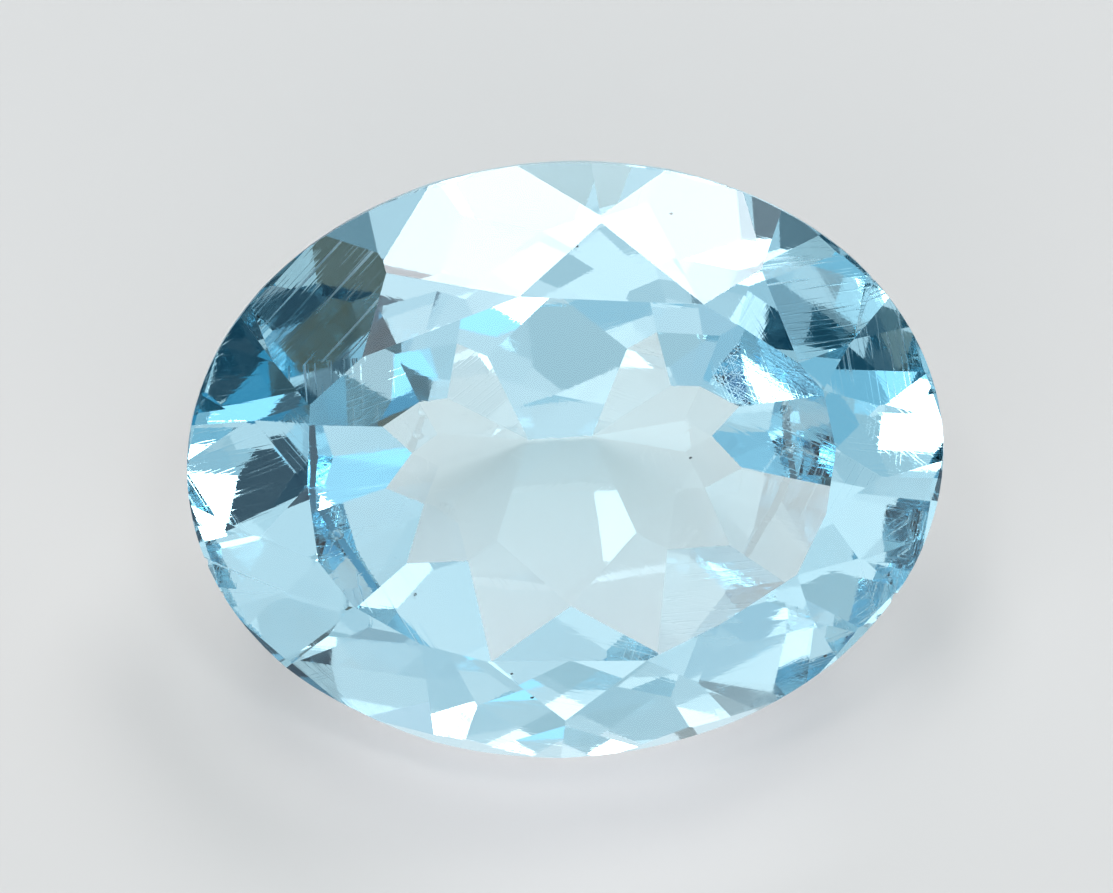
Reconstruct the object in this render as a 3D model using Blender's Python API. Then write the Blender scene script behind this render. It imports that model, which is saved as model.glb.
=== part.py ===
"""An oval cut topaz, loose, lying on one facet of its pavilion.

The stone is cut the way a cutter does it: from an oval blank, one flat facet after another.
Every facet is a cutting plane laid out on a round stone, and the round stone is then
stretched along X into the oval, because a stretched plane is still a plane.
"""

import math

import bmesh
import bpy
from mathutils import Matrix, Vector

NAME = "oval_topaz"

# Driving dimensions, in metres.
LENGTH = 0.0100
WIDTH = 0.0080
GIRDLE_THICKNESS = 0.00016
CROWN_HEIGHT = 0.00120
PAVILION_DEPTH = 0.00325
KEEL_LENGTH = 0.00085

# Facets of the crown, in degrees round the stone, counted from the right end (+X) and
# seen from above. Each main facet touches the girdle at the first angle and reaches the
# table at the second angle, at the third number times the radius.
CROWN_MAINS = (
    (18, 20, 0.720),
    (40, 29, 0.705),
    (66, 56, 0.670),
    (102, 100, 0.625),
    (136, 140, 0.690),
    (158, 156, 0.735),
    (180, 178, 0.690),
    (197, 199, 0.710),
    (214, 216, 0.705),
    (231, 232, 0.670),
    (248, 248, 0.645),
    (286, 286, 0.650),
    (303, 306, 0.640),
    (325, 328, 0.690),
    (345, 346, 0.690),
    (0, 4, 0.705),
)
# How far up the crown the girdle facets and the star facets meet, as a share of its height.
GIRDLE_FACETS_MEET = 0.51
STARS_MEET = 0.57
# How deep a girdle facet bites into the rim, and the share of the rim that a main facet
# takes on each side of its middle, out of the way to the next one.
GIRDLE_FACET_BITE = 0.00003
MAIN_RIM_SHARE = 0.20

# Facets of the pavilion: the same number in each tier, at equal angles on the index wheel.
PAVILION_INDEX = 12
KEEL_TIER_ANGLE = 32.2
MIDDLE_TIER_ANGLE = 38.5
OUTER_TIER_ANGLE = 46.0
RIM_TIER_ANGLE = 56.0

# Small chips along the rim: angle round the stone, size, and how far below the girdle.
RIM_CHIPS = (
    (70, 0.00005, 0.00000),
    (62, 0.00007, 0.00001),
    (34, 0.00010, 0.00000),
    (328, 0.00012, -0.00003),
    (324, 0.00010, 0.00003),
    (319, 0.00008, 0.00000),
    (164, 0.00008, 0.00002),
    (170, 0.00010, 0.00000),
    (176, 0.00009, -0.00002),
    (188, 0.00008, 0.00002),
    (196, 0.00011, 0.00000),
    (203, 0.00008, -0.00001),
)

MM = 1000.0
RADIUS = WIDTH * MM / 2
STRETCH = LENGTH / WIDTH
RIM_TOP = GIRDLE_THICKNESS * MM / 2
RIM_BOTTOM = -RIM_TOP
TABLE_Z = RIM_TOP + CROWN_HEIGHT * MM
KEEL_Z = RIM_BOTTOM - PAVILION_DEPTH * MM


def clear_scene():
    for old in list(bpy.data.objects):
        bpy.data.objects.remove(old, do_unlink=True)


def round_point(degrees, radius, z):
    """A point of the round stone, before the stretch, in millimetres."""
    angle = math.radians(degrees)
    return Vector((radius * math.cos(angle), radius * math.sin(angle), z))


def tangent(degrees):
    angle = math.radians(degrees)
    return Vector((-math.sin(angle), math.cos(angle), 0.0))


def outward(normal, point):
    """The plane as (point, normal), with the normal pointing away from the stone's middle."""
    normal = normal.normalized()
    middle = Vector((0.0, 0.0, -0.5))
    if normal.dot(point - middle) < 0:
        normal = -normal
    return point, normal


def plane_from_rim(degrees, bite, z, through):
    """The plane that lies along the rim at this angle and passes through a second point."""
    rim = round_point(degrees, RADIUS - bite * MM, z)
    return outward(tangent(degrees).cross(through - rim), rim)


def plane_through(first, second, third):
    return outward((second - first).cross(third - first), first)


def where_two_meet(plane_a, plane_b, z):
    """The point at height z on the line that two planes share."""
    (co_a, no_a), (co_b, no_b) = plane_a, plane_b
    rest_a = no_a.dot(co_a) - no_a.z * z
    rest_b = no_b.dot(co_b) - no_b.z * z
    det = no_a.x * no_b.y - no_a.y * no_b.x
    x = (rest_a * no_b.y - rest_b * no_a.y) / det
    y = (rest_b * no_a.x - rest_a * no_b.x) / det
    return Vector((x, y, z))


def gap_after(k):
    """Degrees from one main facet of the crown to the next."""
    after = (k + 1) % len(CROWN_MAINS)
    return (CROWN_MAINS[after][0] - CROWN_MAINS[k][0]) % 360


def main_bite(k):
    """How deep a main facet bites, so that it takes its share of the rim."""
    gap = math.radians(gap_after(k - 1) + gap_after(k)) / 2
    half_width = MAIN_RIM_SHARE * gap
    own = RADIUS / MM * (1 - math.cos(half_width))
    beside = RADIUS / MM * (1 - math.cos(gap / 4 - half_width))
    return own + 1.15 * (GIRDLE_FACET_BITE - beside)


def crown_planes():
    mains = []
    corners = []
    for k, (rim_angle, table_angle, share) in enumerate(CROWN_MAINS):
        corner = round_point(table_angle, share * RADIUS, TABLE_Z)
        corners.append(corner)
        mains.append(plane_from_rim(rim_angle, main_bite(k), RIM_TOP, corner))
    planes = list(mains)
    height = TABLE_Z - RIM_TOP
    for k, row in enumerate(CROWN_MAINS):
        after = (k + 1) % len(CROWN_MAINS)
        low = where_two_meet(mains[k], mains[after], RIM_TOP + GIRDLE_FACETS_MEET * height)
        high = where_two_meet(mains[k], mains[after], RIM_TOP + STARS_MEET * height)
        for part in (0.25, 0.75):
            at = row[0] + part * gap_after(k)
            planes.append(plane_from_rim(at, GIRDLE_FACET_BITE, RIM_TOP, low))
        planes.append(plane_through(corners[k], corners[after], high))
    table = (Vector((0.0, 0.0, TABLE_Z)), Vector((0.0, 0.0, 1.0)))
    return planes + [table]


def index_angle(step):
    """The angle on the round stone of a facet that the index wheel sets on the oval."""
    wheel = math.radians(270 + step * 360 / PAVILION_INDEX)
    return math.degrees(math.atan2(math.sin(wheel), math.cos(wheel) * STRETCH))


def keel_plane(step):
    """A facet that runs down to the keel. Facet 0 is the one the stone lies on."""
    at = index_angle(step)
    slope = math.radians(KEEL_TIER_ANGLE)
    reach = KEEL_LENGTH * MM / 2 / STRETCH * abs(math.cos(math.radians(at)))
    normal = round_point(at, math.sin(slope), -math.cos(slope))
    return round_point(at, reach, KEEL_Z), normal


def plane_up_to_rim(step, angle):
    """A facet of the pavilion that reaches the rim, at this angle to the girdle."""
    at = index_angle(step)
    slope = math.radians(angle)
    normal = round_point(at, math.sin(slope), -math.cos(slope))
    return round_point(at, RADIUS - GIRDLE_FACET_BITE * MM, RIM_BOTTOM), normal


def outer_plane(step):
    return plane_up_to_rim(step, OUTER_TIER_ANGLE)


def rim_plane(step):
    """One of the narrow pairs that keep the girdle thin between two outer facets."""
    return plane_up_to_rim(step, RIM_TIER_ANGLE)


def middle_plane(step):
    """A facet between two outer ones, through the tips where those meet the keel facets."""
    tips = []
    for side in (-0.5, 0.5):
        keel = keel_plane(step + side)
        outer = outer_plane(step + side)
        at = math.radians(index_angle(step + side))
        out = Vector((math.cos(at), math.sin(at), 0.0))
        keel_r = keel[0].dot(out)
        outer_r = outer[0].dot(out)
        keel_rise = math.tan(math.radians(KEEL_TIER_ANGLE))
        outer_rise = math.tan(math.radians(OUTER_TIER_ANGLE))
        r = RIM_BOTTOM - KEEL_Z + keel_rise * keel_r - outer_rise * outer_r
        r = r / (keel_rise - outer_rise)
        tips.append(out * r + Vector((0.0, 0.0, KEEL_Z + keel_rise * (r - keel_r))))
    along = tips[1] - tips[0]
    at = math.radians(index_angle(step))
    slope = math.tan(math.radians(MIDDLE_TIER_ANGLE))
    down = Vector((-math.cos(at), -math.sin(at), -slope))
    return outward(along.cross(down), (tips[0] + tips[1]) / 2)


def pavilion_planes():
    planes = []
    for k in range(PAVILION_INDEX):
        planes.append(outer_plane(k))
        planes.append(rim_plane(k - 0.25))
        planes.append(rim_plane(k + 0.25))
        planes.append(middle_plane(k + 0.5))
        planes.append(keel_plane(k))
    return planes


def oval_blank():
    """The round blank that the facets are cut from, taller than the finished stone."""
    blank = bmesh.new()
    height = TABLE_Z - KEEL_Z + 2.0
    middle = Matrix.Translation((0.0, 0.0, (TABLE_Z + KEEL_Z) / 2))
    bmesh.ops.create_cone(
        blank,
        cap_ends=True,
        segments=144,
        radius1=RADIUS,
        radius2=RADIUS,
        depth=height,
        matrix=middle,
    )
    return blank


def cut(stone, plane):
    """Grinds away all that lies outside the plane and closes the stone with a flat facet."""
    point, normal = plane
    done = bmesh.ops.bisect_plane(
        stone,
        geom=stone.verts[:] + stone.edges[:] + stone.faces[:],
        dist=1e-6,
        plane_co=point,
        plane_no=normal,
        clear_outer=True,
    )
    edges = [item for item in done["geom_cut"] if isinstance(item, bmesh.types.BMEdge)]
    if edges:
        bmesh.ops.edgeloop_fill(stone, edges=edges)


def rest_rotation():
    """Turns the keel facet 0 to face straight down."""
    point, normal = keel_plane(0)
    normal = Vector((normal.x / STRETCH, normal.y, normal.z)).normalized()
    return normal.rotation_difference(Vector((0.0, 0.0, -1.0))).to_matrix().to_4x4()


def topaz_material():
    made = bpy.data.materials.new("pale blue topaz")
    made.use_nodes = True
    shader = made.node_tree.nodes["Principled BSDF"]
    shader.inputs["Base Color"].default_value = (0.62, 0.84, 0.92, 1.0)
    shader.inputs["Roughness"].default_value = 0.03
    shader.inputs["IOR"].default_value = 1.62
    shader.inputs["Transmission Weight"].default_value = 1.0
    return made


def chip_cutters(home, helpers):
    """Small rough pebbles, one at each chip, that the rim loses its edge to."""
    cutters = []
    for number, (degrees, size, drop) in enumerate(RIM_CHIPS):
        lump = bmesh.new()
        bmesh.ops.create_icosphere(lump, subdivisions=2, radius=size)
        rim = round_point(degrees, RADIUS / MM + 0.45 * size, -drop)
        place = Matrix.Translation((rim.x * STRETCH, rim.y, rim.z))
        turn = Matrix.Rotation(math.radians(37 * number + 11), 4, "Z")
        tip = Matrix.Rotation(math.radians(23 * number), 4, "X")
        shape = Matrix.Diagonal((1.25, 0.85, 0.7, 1.0))
        lump.transform(home @ place @ turn @ tip @ shape)
        mesh = bpy.data.meshes.new("chip cutter")
        lump.to_mesh(mesh)
        lump.free()
        cutter = bpy.data.objects.new(f"chip_cutter_{number + 1}", mesh)
        cutter.hide_render = True
        cutter.display_type = "WIRE"
        helpers.objects.link(cutter)
        cutters.append(cutter)
    return cutters


def build():
    clear_scene()
    collection = bpy.data.collections.new("oval topaz")
    bpy.context.scene.collection.children.link(collection)
    helpers = bpy.data.collections.new("chip cutters")
    helpers.hide_render = True
    bpy.context.scene.collection.children.link(helpers)

    stone = oval_blank()
    for plane in pavilion_planes() + crown_planes():
        cut(stone, plane)
    bmesh.ops.remove_doubles(stone, verts=stone.verts[:], dist=1e-3)
    bmesh.ops.dissolve_degenerate(stone, edges=stone.edges[:], dist=1e-3)
    bmesh.ops.recalc_face_normals(stone, faces=stone.faces[:])

    size = Matrix.Diagonal((STRETCH / MM, 1 / MM, 1 / MM, 1.0))
    lying = rest_rotation()
    stone.transform(lying @ size)
    low = min(v.co.z for v in stone.verts)
    xs = [v.co.x for v in stone.verts]
    ys = [v.co.y for v in stone.verts]
    home = Vector((-(min(xs) + max(xs)) / 2, -(min(ys) + max(ys)) / 2, -low))
    stone.transform(Matrix.Translation(home))
    mesh = bpy.data.meshes.new(NAME)
    stone.to_mesh(mesh)
    stone.free()
    mesh.materials.append(topaz_material())
    topaz = bpy.data.objects.new(NAME, mesh)
    collection.objects.link(topaz)

    cutters = chip_cutters(Matrix.Translation(home) @ lying, helpers)
    for cutter in cutters:
        chip = topaz.modifiers.new(cutter.name, "BOOLEAN")
        chip.operation = "DIFFERENCE"
        chip.solver = "EXACT"
        chip.object = cutter
    return topaz


build()
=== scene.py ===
# %% [markdown]
# # An oval cut topaz, lying on a pale floor
#
# A cut stone has no colour or pattern painted on it. Everything that we see in it is light
# that came in through one facet, ran through the crystal, and left through another.
# So the whole lesson is about three things: flat facets that meet in crisp edges, a clear
# material with the right refraction and a faint blue absorption, and soft lamps in the
# right places. We begin by loading the stone's solid. Its shape and size are settled there,
# and nothing here moves or resizes it.

import math
import random

import bmesh
import bpy
from mathutils import Matrix, Vector


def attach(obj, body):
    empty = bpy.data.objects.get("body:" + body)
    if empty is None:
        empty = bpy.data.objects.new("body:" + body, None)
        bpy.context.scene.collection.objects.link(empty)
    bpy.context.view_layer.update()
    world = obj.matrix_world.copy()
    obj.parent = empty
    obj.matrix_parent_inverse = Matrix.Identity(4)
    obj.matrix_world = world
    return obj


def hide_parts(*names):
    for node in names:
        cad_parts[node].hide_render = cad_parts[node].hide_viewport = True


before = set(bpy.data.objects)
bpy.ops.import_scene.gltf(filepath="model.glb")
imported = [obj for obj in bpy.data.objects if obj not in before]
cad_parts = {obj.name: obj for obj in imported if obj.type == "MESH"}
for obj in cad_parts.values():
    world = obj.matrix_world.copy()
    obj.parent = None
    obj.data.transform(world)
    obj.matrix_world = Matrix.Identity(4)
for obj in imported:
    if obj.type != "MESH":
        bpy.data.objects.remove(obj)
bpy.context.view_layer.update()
cad_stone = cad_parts["oval_topaz"]
print("faces in the solid:", len(cad_stone.data.polygons))

# %% [markdown]
# ## Where the stone sits and where we look from
#
# The stone lies on one facet of its underside, so its flat top, the table, leans towards
# us. It helps to have the stone's own axes at hand: its long axis, its short axis and the
# way the table faces. The table is by far the largest flat face, so we can find it and
# measure from it. The camera looks down on the table from a little off its normal,
# from 25 centimetres away with a very long lens, as in close-up photography.
# A long lens keeps the oval's two ends the same size.

# %% Whole facets
FLAT_WITHIN = math.radians(0.3)
WELD_WITHIN = 1e-7


def facets_from_solid(source):
    """The solid's mesh with whole flat facets in place of triangles."""
    made = bmesh.new()
    made.from_mesh(source.data)
    bmesh.ops.remove_doubles(made, verts=made.verts[:], dist=WELD_WITHIN)
    bmesh.ops.dissolve_limit(
        made, angle_limit=FLAT_WITHIN, verts=made.verts[:], edges=made.edges[:]
    )
    return made


stone_mesh = facets_from_solid(cad_stone)
table = max(stone_mesh.faces, key=lambda face: face.calc_area())
print("table, in square mm:", round(table.calc_area() * 1e6, 1))

# %% The stone's own axes
GIRDLE_BELOW_TABLE = 0.00128
long_axis = Vector((1.0, 0.0, 0.0))
table_faces = table.normal.copy()
short_axis = table_faces.cross(long_axis)
table_lean = math.atan2(-table_faces.y, table_faces.z)
reach = [vertex.co.dot(short_axis) for vertex in stone_mesh.verts]
girdle_height = table.verts[0].co.dot(table_faces) - GIRDLE_BELOW_TABLE
girdle_middle = short_axis * ((max(reach) + min(reach)) / 2) + table_faces * girdle_height


def in_stone(along, across, up):
    """A direction or offset given in the stone's own axes, turned into the scene's."""
    return long_axis * along + short_axis * across + table_faces * up


def direction(azimuth, elevation):
    """A direction from the stone: azimuth 0 is straight behind it, 90 to the right."""
    turn, lift = math.radians(azimuth), math.radians(elevation)
    return Vector(
        (math.sin(turn) * math.cos(lift), math.cos(turn) * math.cos(lift), math.sin(lift))
    )


print("the table leans", round(math.degrees(table_lean), 1), "degrees")
print("girdle's middle, mm:", [round(1000 * c, 3) for c in girdle_middle])

# %% Camera
PHOTO_WIDTH = 1113
PHOTO_HEIGHT = 893
STONE_AT = (565.4, 459.8)
PIXELS_PER_METRE = 75720
OFF_THE_TABLE_NORMAL = math.radians(11.3)
TOWARDS_THE_END = math.radians(10.0)
ROLL = math.radians(3.24)
CAMERA_DISTANCE = 0.25
NEAREST_SEEN = 0.01
FURTHEST_SEEN = 10.0
SENSOR = 36.0

to_camera = in_stone(
    -math.sin(OFF_THE_TABLE_NORMAL) * math.sin(TOWARDS_THE_END),
    math.sin(OFF_THE_TABLE_NORMAL) * math.cos(TOWARDS_THE_END),
    math.cos(OFF_THE_TABLE_NORMAL),
)
level_right = (long_axis - to_camera * long_axis.dot(to_camera)).normalized()
level_up = to_camera.cross(level_right)
picture_right = level_right * math.cos(ROLL) - level_up * math.sin(ROLL)
picture_up = level_right * math.sin(ROLL) + level_up * math.cos(ROLL)


def point_camera():
    """The camera looks straight down its axis, with the stone where the picture has it."""
    lens = bpy.data.cameras.new("close_up_camera")
    frame_width = PHOTO_WIDTH / PIXELS_PER_METRE
    lens.sensor_width = SENSOR
    lens.lens = SENSOR * CAMERA_DISTANCE / frame_width
    lens.clip_start = NEAREST_SEEN
    lens.clip_end = FURTHEST_SEEN
    right_of_middle = (STONE_AT[0] - PHOTO_WIDTH / 2) / PIXELS_PER_METRE
    above_middle = (PHOTO_HEIGHT / 2 - STONE_AT[1]) / PIXELS_PER_METRE
    aim = girdle_middle - picture_right * right_of_middle - picture_up * above_middle
    camera = bpy.data.objects.new("close_up_camera", lens)
    turn = Matrix((picture_right, picture_up, to_camera)).transposed().to_4x4()
    camera.matrix_world = Matrix.Translation(aim + to_camera * CAMERA_DISTANCE) @ turn
    bpy.context.scene.collection.objects.link(camera)
    bpy.context.scene.camera = camera
    return camera


camera = point_camera()
print("lens, mm:", round(camera.data.lens))
print("looking down at", round(math.degrees(math.asin(to_camera.z)), 1), "degrees")

# %% [markdown]
# ## The stone's mesh
#
# The solid arrives as triangles, and its shading is smoothed over the edges, which would
# make a cut stone look like a pebble. So we rebuild the visible mesh: weld the corners,
# merge triangles that lie in one plane back into whole facets, and shade every facet flat.
# Facet edges on a stone that has been worn are never knife sharp. A bevel of a few
# thousandths of a millimetre is enough to catch the light as a thin bright line.

# %% Facets
EDGE_WEAR = 0.000009
SHORTEST_WORN_EDGE = 6 * EDGE_WEAR
SHARP_FROM = math.radians(1.5)
FACET_AREA = 2.0e-8

print("facets:", sum(1 for f in stone_mesh.faces if f.calc_area() > FACET_AREA))
print("all faces:", len(stone_mesh.faces))

# %% Worn edges
def worn_edges(mesh):
    """The edges between two whole facets. Those of the tiny chips stay as they are."""
    found = []
    for edge in mesh.edges:
        if len(edge.link_faces) != 2 or edge.calc_length() < SHORTEST_WORN_EDGE:
            continue
        if min(face.calc_area() for face in edge.link_faces) < FACET_AREA:
            continue
        if edge.calc_face_angle(0.0) > SHARP_FROM:
            found.append(edge)
    return found


wear = stone_mesh.faces.layers.float.new("wear")
edges = worn_edges(stone_mesh)
done = bmesh.ops.bevel(
    stone_mesh, geom=edges, offset=EDGE_WEAR, offset_type="OFFSET", segments=1,
    affect="EDGES", clamp_overlap=True,
)
for face in done["faces"]:
    face[wear] = 1.0
print("edges worn:", len(edges), "faces now:", len(stone_mesh.faces))

# %% [markdown]
# ## What the cutter and the years left on each face
#
# Every facet was polished on its own, turned a little differently against the wheel, so
# its fine lines run in one direction of their own. We give each face flat coordinates in
# millimetres, turned by its own angle, for those lines to follow. The band between crown
# and underside, the girdle, is left as it was ground: dull. The chips broke open and stay
# rough. And some facets of the crown were rubbed more than others: the dark one at the
# upper left and some at the two ends. We name them by where they mirror our line of sight.
# The underside would match by chance too, so it is left out of the search.

# %% Face by face
MM = 0.001
GIRDLE_STANDS_WITHIN = 0.08
# Azimuth and elevation in which a facet mirrors our line of sight, and how rubbed it is.
MOST_RUBBED = {
    (-57, 35): 1.0,
    (63, 29): 0.7,
    (84, 12): 0.6,
    (-79, 16): 0.45,
    (-107, 7): 0.35,
}
RUBBED_ELSEWHERE = 0.10
SAME_FACET = math.radians(7)
POLISH_SEED = 7
FURTHEST_SHIFT = 50


def mirror_direction(face):
    """Which way a facet sends our line of sight."""
    return (face.normal * (2 * face.normal.dot(to_camera)) - to_camera).normalized()


def rubbed_share(face):
    """How rubbed a facet is. Only facets of the crown are looked up."""
    if face.normal.dot(table_faces) < GIRDLE_STANDS_WITHIN:
        return RUBBED_ELSEWHERE
    mirror = mirror_direction(face)
    for towards, share in MOST_RUBBED.items():
        if mirror.angle(direction(*towards)) < SAME_FACET:
            return share
    return RUBBED_ELSEWHERE


def mark_faces(mesh):
    """Stores how rubbed and how rough each face is, and its own flat coordinates."""
    rubbed = mesh.faces.layers.float.new("rubbed")
    ground = mesh.faces.layers.float.new("ground")
    plane = mesh.loops.layers.uv.new("facet_plane")
    chance = random.Random(POLISH_SEED)
    rough_faces = 0
    for face in mesh.faces:
        turn = chance.uniform(0, math.pi)
        side = face.normal.orthogonal().normalized()
        other = face.normal.cross(side)
        along = side * math.cos(turn) + other * math.sin(turn)
        across = face.normal.cross(along)
        shift = chance.uniform(0, FURTHEST_SHIFT)
        for loop in face.loops:
            place = loop.vert.co
            loop[plane].uv = (place.dot(along) / MM + shift, place.dot(across) / MM)
        if face[wear] > 0.0:
            continue
        face[rubbed] = rubbed_share(face)
        on_the_girdle = abs(face.normal.dot(table_faces)) < GIRDLE_STANDS_WITHIN
        if on_the_girdle or face.calc_area() < FACET_AREA:
            face[ground] = 1.0
            rough_faces += 1
    return rough_faces


print("faces left rough:", mark_faces(stone_mesh))

# %% The stone as an object
def stone_object(mesh):
    """Turns the finished mesh into an object, with every facet shaded flat."""
    data = bpy.data.meshes.new("topaz_stone")
    mesh.to_mesh(data)
    mesh.free()
    for polygon in data.polygons:
        polygon.use_smooth = False
    made = bpy.data.objects.new("topaz_stone", data)
    bpy.context.scene.collection.objects.link(made)
    return made


stone = stone_object(stone_mesh)
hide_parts("oval_topaz")
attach(stone, "root")
print("faces on the stone:", len(stone.data.polygons))

# %% [markdown]
# ## Topaz
#
# Topaz bends light by an index of 1.62. Its pale blue isn't on the surface but in the body:
# red light is absorbed a little on the way through, so long paths look bluer than short ones.
# The surface has no colour at all. It only has a finish: polish lines far finer than we
# can count, stray scratches, faint smears, and dull ground glass where it was never polished.

# %% Small helpers for nodes
def maths(tree, operation, first, second=None, clamp=False):
    """A Math node. Each input is a number or another node's output."""
    node = tree.nodes.new("ShaderNodeMath")
    node.operation = operation
    node.use_clamp = clamp
    for socket, value in zip(node.inputs, (first, second)):
        if isinstance(value, (int, float)):
            socket.default_value = value
        elif value is not None:
            tree.links.new(value, socket)
    return node.outputs[0]


def stored(tree, name):
    """The value that each face of the mesh carries under this name."""
    node = tree.nodes.new("ShaderNodeAttribute")
    node.attribute_name = name
    return node.outputs["Fac"]


def grain(tree, place, stretch, scale, turn=0.0):
    """Noise drawn out along one direction of the facet's own plane."""
    mapping = tree.nodes.new("ShaderNodeMapping")
    mapping.inputs["Rotation"].default_value = (0.0, 0.0, math.radians(turn))
    mapping.inputs["Scale"].default_value = (scale / stretch, scale, scale)
    tree.links.new(place, mapping.inputs["Vector"])
    noise = tree.nodes.new("ShaderNodeTexNoise")
    noise.inputs["Scale"].default_value = 1.0
    noise.inputs["Detail"].default_value = 0.0
    tree.links.new(mapping.outputs["Vector"], noise.inputs["Vector"])
    return noise.outputs["Fac"]


def between(tree, value, low, high, at_low=0.0, at_high=1.0, soft=True):
    """A Map Range node from low..high to at_low..at_high."""
    ramp = tree.nodes.new("ShaderNodeMapRange")
    ramp.interpolation_type = "SMOOTHSTEP" if soft else "LINEAR"
    ramp.inputs["From Min"].default_value = low
    ramp.inputs["From Max"].default_value = high
    ramp.inputs["To Min"].default_value = at_low
    ramp.inputs["To Max"].default_value = at_high
    tree.links.new(value, ramp.inputs["Value"])
    return ramp.outputs["Result"]


# %% Topaz material
TOPAZ_IOR = 1.62
BODY_COLOUR = (0.25, 0.75, 0.90)
BODY_DENSITY = 85.0
GROUND_ROUGHNESS = 0.35
EDGE_ROUGHNESS = 0.25
SCRATCH_ROUGHNESS = 0.50
SMEAR_ROUGHNESS = 0.10
SCRATCH_DEPTH = 0.0000008
GROUND_DEPTH = 0.000004
SMEARED_FROM = 0.3
CRUMBS_PER_MM = 26
# How far each pattern is drawn out, how fine it is to the millimetre, its turn in degrees,
# and the two values of the noise between which it fades in.
WHEEL_LINES = (40, 34, 0, 0.57, 0.80)
STRAY_LINES = (60, 8, 38, 0.76, 0.80)
PATCHES = (2, 1.3, 12, 0.36, 0.62)


def marks(tree, place, pattern):
    """One pattern of marks, from 0 where there are none to 1."""
    stretch, scale, turn, low, high = pattern
    return between(tree, grain(tree, place, stretch, scale, turn), low, high)


def surface_finish(tree):
    """The roughness of the surface and the height of its relief, both from nodes."""
    plane = tree.nodes.new("ShaderNodeUVMap")
    plane.uv_map = "facet_plane"
    place = plane.outputs["UV"]
    worn, ground, rubbed = stored(tree, "wear"), stored(tree, "ground"), stored(tree, "rubbed")

    wheel_lines = marks(tree, place, WHEEL_LINES)
    stray_lines = marks(tree, place, STRAY_LINES)
    patches = marks(tree, place, PATCHES)
    lines = maths(tree, "MAXIMUM", maths(tree, "MULTIPLY", wheel_lines, patches), stray_lines)
    scratches = maths(tree, "MULTIPLY", lines, rubbed)
    smeared = maths(tree, "SUBTRACT", rubbed, SMEARED_FROM, clamp=True)
    smears = maths(tree, "MULTIPLY", patches, smeared)

    rough = maths(tree, "MULTIPLY", scratches, SCRATCH_ROUGHNESS)
    rough = maths(tree, "ADD", rough, maths(tree, "MULTIPLY", smears, SMEAR_ROUGHNESS))
    rough = maths(tree, "ADD", rough, maths(tree, "MULTIPLY", worn, EDGE_ROUGHNESS))
    dull = maths(tree, "MULTIPLY", ground, GROUND_ROUGHNESS)
    rough = maths(tree, "ADD", rough, dull, clamp=True)

    crumbs = maths(tree, "MULTIPLY", grain(tree, place, 1, CRUMBS_PER_MM), ground)
    grooves = maths(tree, "MULTIPLY", wheel_lines, rubbed)
    height = maths(tree, "MULTIPLY", crumbs, GROUND_DEPTH)
    height = maths(tree, "SUBTRACT", height, maths(tree, "MULTIPLY", grooves, SCRATCH_DEPTH))
    return rough, height


def topaz_material():
    """Clear crystal with a pale blue body and the finish of each face."""
    made = bpy.data.materials.new("pale_blue_topaz")
    made.use_nodes = True
    tree = made.node_tree
    nodes, links = tree.nodes, tree.links
    shader = nodes["Principled BSDF"]
    shader.inputs["Base Color"].default_value = (1.0, 1.0, 1.0, 1.0)
    shader.inputs["IOR"].default_value = TOPAZ_IOR
    shader.inputs["Transmission Weight"].default_value = 1.0
    body = nodes.new("ShaderNodeVolumeAbsorption")
    body.inputs["Color"].default_value = (*BODY_COLOUR, 1.0)
    body.inputs["Density"].default_value = BODY_DENSITY
    links.new(body.outputs["Volume"], nodes["Material Output"].inputs["Volume"])

    rough, height = surface_finish(tree)
    links.new(rough, shader.inputs["Roughness"])
    bump = nodes.new("ShaderNodeBump")
    bump.inputs["Distance"].default_value = 1.0
    links.new(height, bump.inputs["Height"])
    links.new(bump.outputs["Normal"], shader.inputs["Normal"])
    return made


stone.data.materials.clear()
stone.data.materials.append(topaz_material())
print("index:", TOPAZ_IOR, "absorption:", BODY_COLOUR, "density:", BODY_DENSITY)

# %% [markdown]
# ## Specks
#
# The photo shows a few tiny dark grains. It doesn't tell how deep they lie, so here they sit
# just under the surface. Each one is placed by where it shows in the picture: we follow
# that line of sight down to the surface and go in a little further.

# %% Specks in the stone
# How far right and how far down in the picture, in pixels, and the radius in microns.
SPECKS = ((512, 674, 16), (532, 698, 20), (826, 657, 22), (671, 214, 18), (690, 458, 14))
SPECK_DEPTH = 0.00003
SPECK_SEED = 100
SPECK_UNEVEN = (0.6, 1.2)
SPECK_STRETCH = 1.5
SPECK_SUBDIVISIONS = 2
MICRON = 0.000001
OUTSIDE_THE_STONE = 0.02
MINERAL_COLOUR = (0.05, 0.07, 0.08)
MINERAL_ROUGHNESS = 0.4
MINERAL_UNEVENNESS = 0.4
MINERAL_GRAINS_PER_METRE = 90000


def line_of_sight(right, down):
    """A point of the picture as a point on the camera's side of the stone."""
    sideways = (right - STONE_AT[0]) / PIXELS_PER_METRE
    upwards = (STONE_AT[1] - down) / PIXELS_PER_METRE
    middle = girdle_middle + picture_right * sideways + picture_up * upwards
    return middle + to_camera * OUTSIDE_THE_STONE


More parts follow.
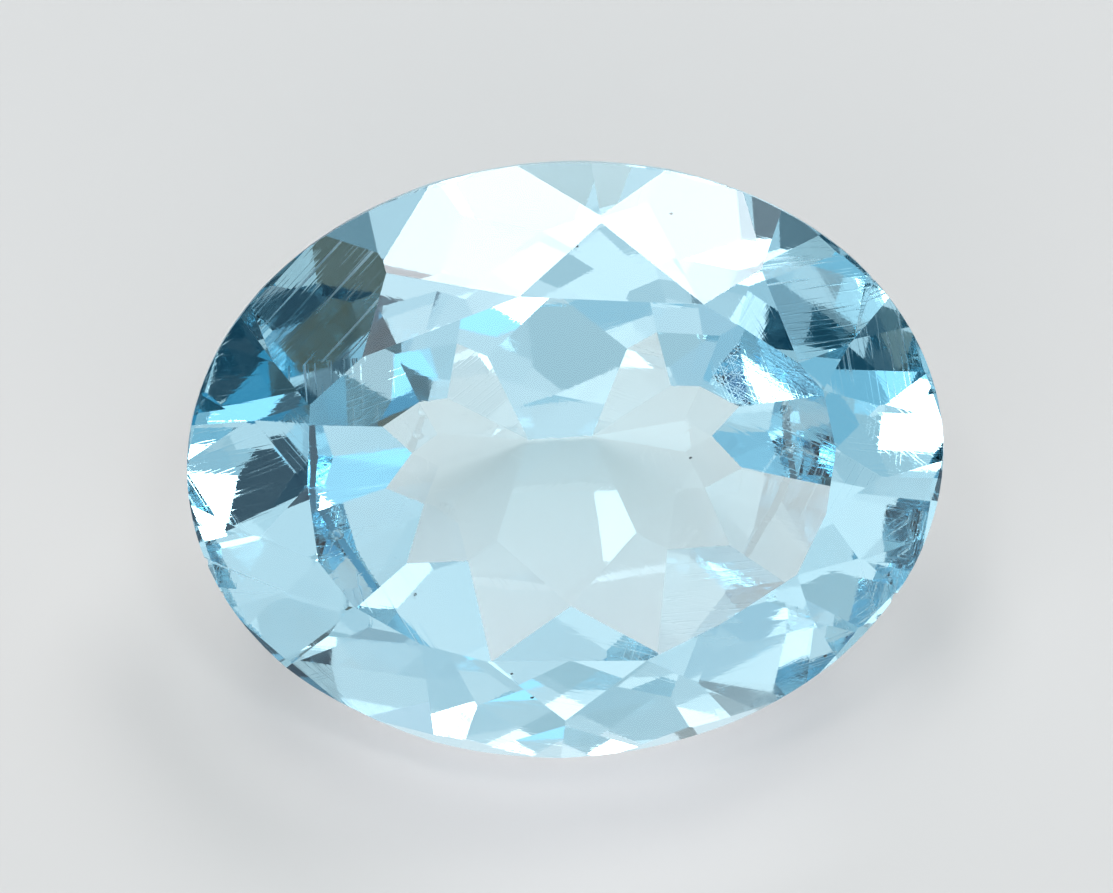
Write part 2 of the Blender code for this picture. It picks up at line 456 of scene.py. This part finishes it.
def speck(number, right, down, microns, material):
    """One uneven grain under the surface, riding along with the stone."""
    hit, place, normal, _ = stone.ray_cast(line_of_sight(right, down), -to_camera)
    if not hit:
        return None
    chance = random.Random(SPECK_SEED + number)
    grain_mesh = bmesh.new()
    bmesh.ops.create_icosphere(
        grain_mesh, subdivisions=SPECK_SUBDIVISIONS, radius=microns * MICRON
    )
    for corner in grain_mesh.verts:
        corner.co *= chance.uniform(*SPECK_UNEVEN)
        corner.co.x *= SPECK_STRETCH
    bmesh.ops.translate(grain_mesh, vec=place - normal * SPECK_DEPTH, verts=grain_mesh.verts[:])
    data = bpy.data.meshes.new(f"speck_{number}")
    grain_mesh.to_mesh(data)
    grain_mesh.free()
    data.materials.append(material)
    made = bpy.data.objects.new(f"speck_{number}", data)
    bpy.context.scene.collection.objects.link(made)
    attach(made, "root")
    return made


def dark_mineral():
    """The specks' material: dark, with an uneven dull surface."""
    made = bpy.data.materials.new("dark_mineral")
    made.use_nodes = True
    tree = made.node_tree
    shader = tree.nodes["Principled BSDF"]
    shader.inputs["Base Color"].default_value = (*MINERAL_COLOUR, 1.0)
    where = tree.nodes.new("ShaderNodeTexCoord")
    uneven = grain(tree, where.outputs["Object"], 1, MINERAL_GRAINS_PER_METRE)
    uneven = maths(tree, "MULTIPLY", uneven, MINERAL_UNEVENNESS)
    rough = maths(tree, "ADD", uneven, MINERAL_ROUGHNESS)
    tree.links.new(rough, shader.inputs["Roughness"])
    return made


bpy.context.view_layer.update()
mineral = dark_mineral()
specks = [speck(number, *row, mineral) for number, row in enumerate(SPECKS, 1)]
print("specks:", sum(1 for made in specks if made))

# %% [markdown]
# ## The floor
#
# Around the stone the picture is one even light grey. What we see of the ground through the
# stone is about as bright as that, although light is lost on the way through. We don't know
# why: perhaps the real ground was lighter and was painted over later. On plain paper our
# window comes out 30 to 50 grey levels darker than the photo's. So the floor gets a glow of
# its own, under the stone and a little past its rim, its strength matched, and a little warmer
# in front than behind. It is a stand-in, not something that was measured, and it has a price:
# it also lightens the shadow in front of the stone, by about 30 levels, and from low down at
# the side it shows as a lighter patch on the floor. A path that meets the floor finds the
# glow by itself, so the floor isn't sampled as a lamp as well.

# %% Floor
FLOOR_SIZE = 1.5
AIR_GAP = 0.00002
FLOOR_COLOUR = (0.640, 0.615, 0.600)
PAPER_ROUGHNESS = 0.9
PAPER_SHEEN = 0.1
GLOW_STRENGTH = 0.36
GLOW_REACH = (0.0060, 0.0054)
GLOW_MIDDLE = -0.0009
GLOW_EVEN_TO = 0.28
GLOW_FRONT = (1.0, 0.92, 0.95)
GLOW_BACK = (0.94, 1.0, 0.93)
# Where a Mix node that is set to colours keeps its two colour inputs and its result.
FIRST_COLOUR, SECOND_COLOUR, MIXED_COLOUR = 6, 7, 2


def colour_mix(tree, factor, first, second):
    """A Mix node for colours. Each colour is three numbers or another node's output."""
    mix = tree.nodes.new("ShaderNodeMix")
    mix.data_type = "RGBA"
    tree.links.new(factor, mix.inputs["Factor"])
    for place, colour in ((FIRST_COLOUR, first), (SECOND_COLOUR, second)):
        if isinstance(colour, tuple):
            mix.inputs[place].default_value = (*colour, 1.0)
        else:
            tree.links.new(colour, mix.inputs[place])
    return mix.outputs[MIXED_COLOUR]


def paper_material():
    """Matt pale paper with the glow under the stone."""
    made = bpy.data.materials.new("pale_paper")
    made.use_nodes = True
    made.cycles.emission_sampling = "NONE"
    tree = made.node_tree
    shader = tree.nodes["Principled BSDF"]
    shader.inputs["Base Color"].default_value = (*FLOOR_COLOUR, 1.0)
    shader.inputs["Roughness"].default_value = PAPER_ROUGHNESS
    shader.inputs["Specular IOR Level"].default_value = PAPER_SHEEN
    where = tree.nodes.new("ShaderNodeTexCoord").outputs["Object"]
    scaled = tree.nodes.new("ShaderNodeMapping")
    scaled.inputs["Location"].default_value = (0.0, -GLOW_MIDDLE / GLOW_REACH[1], 0.0)
    scaled.inputs["Scale"].default_value = (1 / GLOW_REACH[0], 1 / GLOW_REACH[1], 1.0)
    tree.links.new(where, scaled.inputs["Vector"])
    away = tree.nodes.new("ShaderNodeVectorMath")
    away.operation = "LENGTH"
    tree.links.new(scaled.outputs["Vector"], away.inputs[0])
    glow = between(tree, away.outputs["Value"], 1.0, GLOW_EVEN_TO, 0.0, GLOW_STRENGTH)
    tree.links.new(glow, shader.inputs["Emission Strength"])
    parts = tree.nodes.new("ShaderNodeSeparateXYZ")
    tree.links.new(where, parts.inputs[0])
    half = GLOW_REACH[1] / 2
    backwards = between(tree, parts.outputs["Y"], -half, half, soft=False)
    tint = colour_mix(tree, backwards, GLOW_FRONT, GLOW_BACK)
    tree.links.new(tint, shader.inputs["Emission Color"])
    return made


def pale_floor():
    """Smooth pale paper, a hair of air below the stone, so that it doesn't touch it."""
    mesh = bpy.data.meshes.new("floor")
    made = bmesh.new()
    bmesh.ops.create_grid(made, x_segments=1, y_segments=1, size=FLOOR_SIZE / 2)
    bmesh.ops.translate(made, vec=(0, 0, -AIR_GAP), verts=made.verts[:])
    made.to_mesh(mesh)
    made.free()
    mesh.materials.append(paper_material())
    floor = bpy.data.objects.new("floor", mesh)
    bpy.context.scene.collection.objects.link(floor)


pale_floor()
print("floor, metres across:", FLOOR_SIZE)

# %% [markdown]
# ## Lamps
#
# The two white facets at the top are mirrors. The angles of those facets and of the camera
# tell us, to within some degrees, where something bright stood: behind the stone, a little
# left and a little right, about halfway up. For the white patches at the stone's two ends
# we traced our own stone, and there they lead almost straight up. Its underside is a guess,
# so those two lamps are a guess as well. Each lamp is small, so the facets next to the
# white ones stay dark enough.

# %% Light
LAMP_DISTANCE = 0.60
# Azimuth, elevation, width and height in degrees as the stone sees them, and brightness.
LAMPS = {
    "lamp_behind_left": (-15, 56, 18, 16, 7.5),
    "lamp_behind_right": (33, 47, 18, 15, 7.5),
    "lamp_above_right": (98, 79, 10, 10, 6.5),
    "lamp_above_left": (-60, 74, 9, 9, 6.0),
}


def softbox(name, azimuth, elevation, wide, high, brightness):
    """A soft lamp, wide and high in degrees as the stone sees it."""
    lamp = bpy.data.lights.new(name, "AREA")
    lamp.shape = "RECTANGLE"
    lamp.size = 2 * LAMP_DISTANCE * math.tan(math.radians(wide / 2))
    lamp.size_y = 2 * LAMP_DISTANCE * math.tan(math.radians(high / 2))
    lamp.energy = brightness * math.pi * lamp.size * lamp.size_y
    made = bpy.data.objects.new(name, lamp)
    away = direction(azimuth, elevation)
    made.matrix_world = (
        Matrix.Translation(girdle_middle + away * LAMP_DISTANCE)
        @ away.to_track_quat("Z", "Y").to_matrix().to_4x4()
    )
    bpy.context.scene.collection.objects.link(made)


for name, row in LAMPS.items():
    softbox(name, *row)
print("lamps:", len(LAMPS))

# %% [markdown]
# ## The room
#
# A clear stone shows its whole surroundings, folded up. In an evenly lit room it would look
# like a piece of ice. Its dark facets are as important as the white ones: they suggest that
# the room was darker to the left and right, and a little darker in front. So the room is an
# even light with soft discs laid over it, each one given by where it lies, its radius, how
# soft its edge is, and its colour. They were set by tracing and given one by one, to suit this
# one view. Another set of discs could give nearly the same picture. Most of them are bluish,
# some strongly. So part of the blue, above all at the stone's two ends, comes from the room
# and not from the crystal: in a room of plain white light this stone is paler.

# %% The room
ROOM_COLOUR = (0.90, 0.93, 0.95)
DARK = (0.01, 0.05, 0.08)
DEEP_BLUE = (0.07, 0.34, 0.52)
LIGHT_BLUE = (0.68, 1.20, 1.45)
DARK_GREY = (0.13, 0.13, 0.10)
CLEAR_BLUE = (0.34, 0.62, 0.76)
SHADE = (0.55, 0.66, 0.70)
COOL_MIST = (0.60, 0.73, 0.80)
GREY_MIST = (0.62, 0.72, 0.76)
PALE_MIST = (0.68, 0.78, 0.83)
PALE = (1.15, 1.15, 1.15)
RIGHT_HALO = (1.6, 1.6, 1.6)
LEFT_HALO = (2.1, 2.1, 2.1)
BRIGHT = (2.5, 2.5, 2.5)
# Azimuth, elevation, radius and half the width of the soft edge, in degrees, and colour.
ROOM = (
    (-150, 72, 22, 9, GREY_MIST),
    (-120, 70, 10, 4, CLEAR_BLUE),
    (-108, 38, 16, 8, COOL_MIST),
    (-160, 34, 16, 8, PALE),
    (130, 50, 12, 5, PALE_MIST),
    (130, 72, 9, 4, LIGHT_BLUE),
    (-78, 10, 30, 7, DARK),
    (-62, 47, 13, 5, DARK),
    (-50, 36, 15, 5, DARK_GREY),
    (85, 32, 29, 6, DEEP_BLUE),
    (108, 29, 11, 5, DARK_GREY),
    (75, 57, 17, 5, DARK),
    (108, 10, 18, 5, DARK),
    (150, 4, 16, 7, BRIGHT),
    (-116, 21, 8, 3, BRIGHT),
    (-22, 66, 14, 6, LEFT_HALO),
    (30, 47, 13, 5, RIGHT_HALO),
    (-172, 62, 9, 4, SHADE),
)


def disc(tree, where, towards, radius, edge):
    """1 inside a disc of the room as seen from the stone, falling softly to 0 outside."""
    facing = tree.nodes.new("ShaderNodeVectorMath")
    facing.operation = "DOT_PRODUCT"
    facing.inputs[1].default_value = towards
    tree.links.new(where, facing.inputs[0])
    outer = math.cos(math.radians(radius + edge))
    inner = math.cos(math.radians(max(radius - edge, 0)))
    return between(tree, facing.outputs["Value"], outer, inner)


def room_light():
    """Even light all round, with darker and brighter discs laid over it in turn."""
    world = bpy.data.worlds.new("soft_room")
    world.use_nodes = True
    tree = world.node_tree
    where = tree.nodes.new("ShaderNodeTexCoord").outputs["Generated"]
    light = ROOM_COLOUR
    for azimuth, elevation, radius, edge, colour in ROOM:
        inside = disc(tree, where, direction(azimuth, elevation), radius, edge)
        light = colour_mix(tree, inside, light, colour)
    tree.links.new(light, tree.nodes["Background"].inputs["Color"])
    bpy.context.scene.world = world
    return len(ROOM)


print("discs in the room:", room_light())

# %% [markdown]
# ## Developing the picture
#
# Unless told otherwise, Blender lets a path be mirrored four times. Inside a cut stone it can
# be mirrored more often before it gets out, and it would then end in black, so we allow
# twelve turns of every kind that the stone makes. On the floor two are enough: leaving out
# the rest changed the picture by a hundredth of a grey level on average. The plain view
# transform keeps white facets white and the floor's grey near the one we gave it.

# %% How the picture is developed
TURNS_OF_LIGHT = 12
TURNS_ON_THE_FLOOR = 2
scene = bpy.context.scene
scene.view_settings.view_transform = "Standard"
scene.cycles.max_bounces = TURNS_OF_LIGHT
scene.cycles.glossy_bounces = TURNS_OF_LIGHT
scene.cycles.diffuse_bounces = TURNS_ON_THE_FLOOR
scene.cycles.transmission_bounces = TURNS_OF_LIGHT
print("turns of light followed:", TURNS_OF_LIGHT)
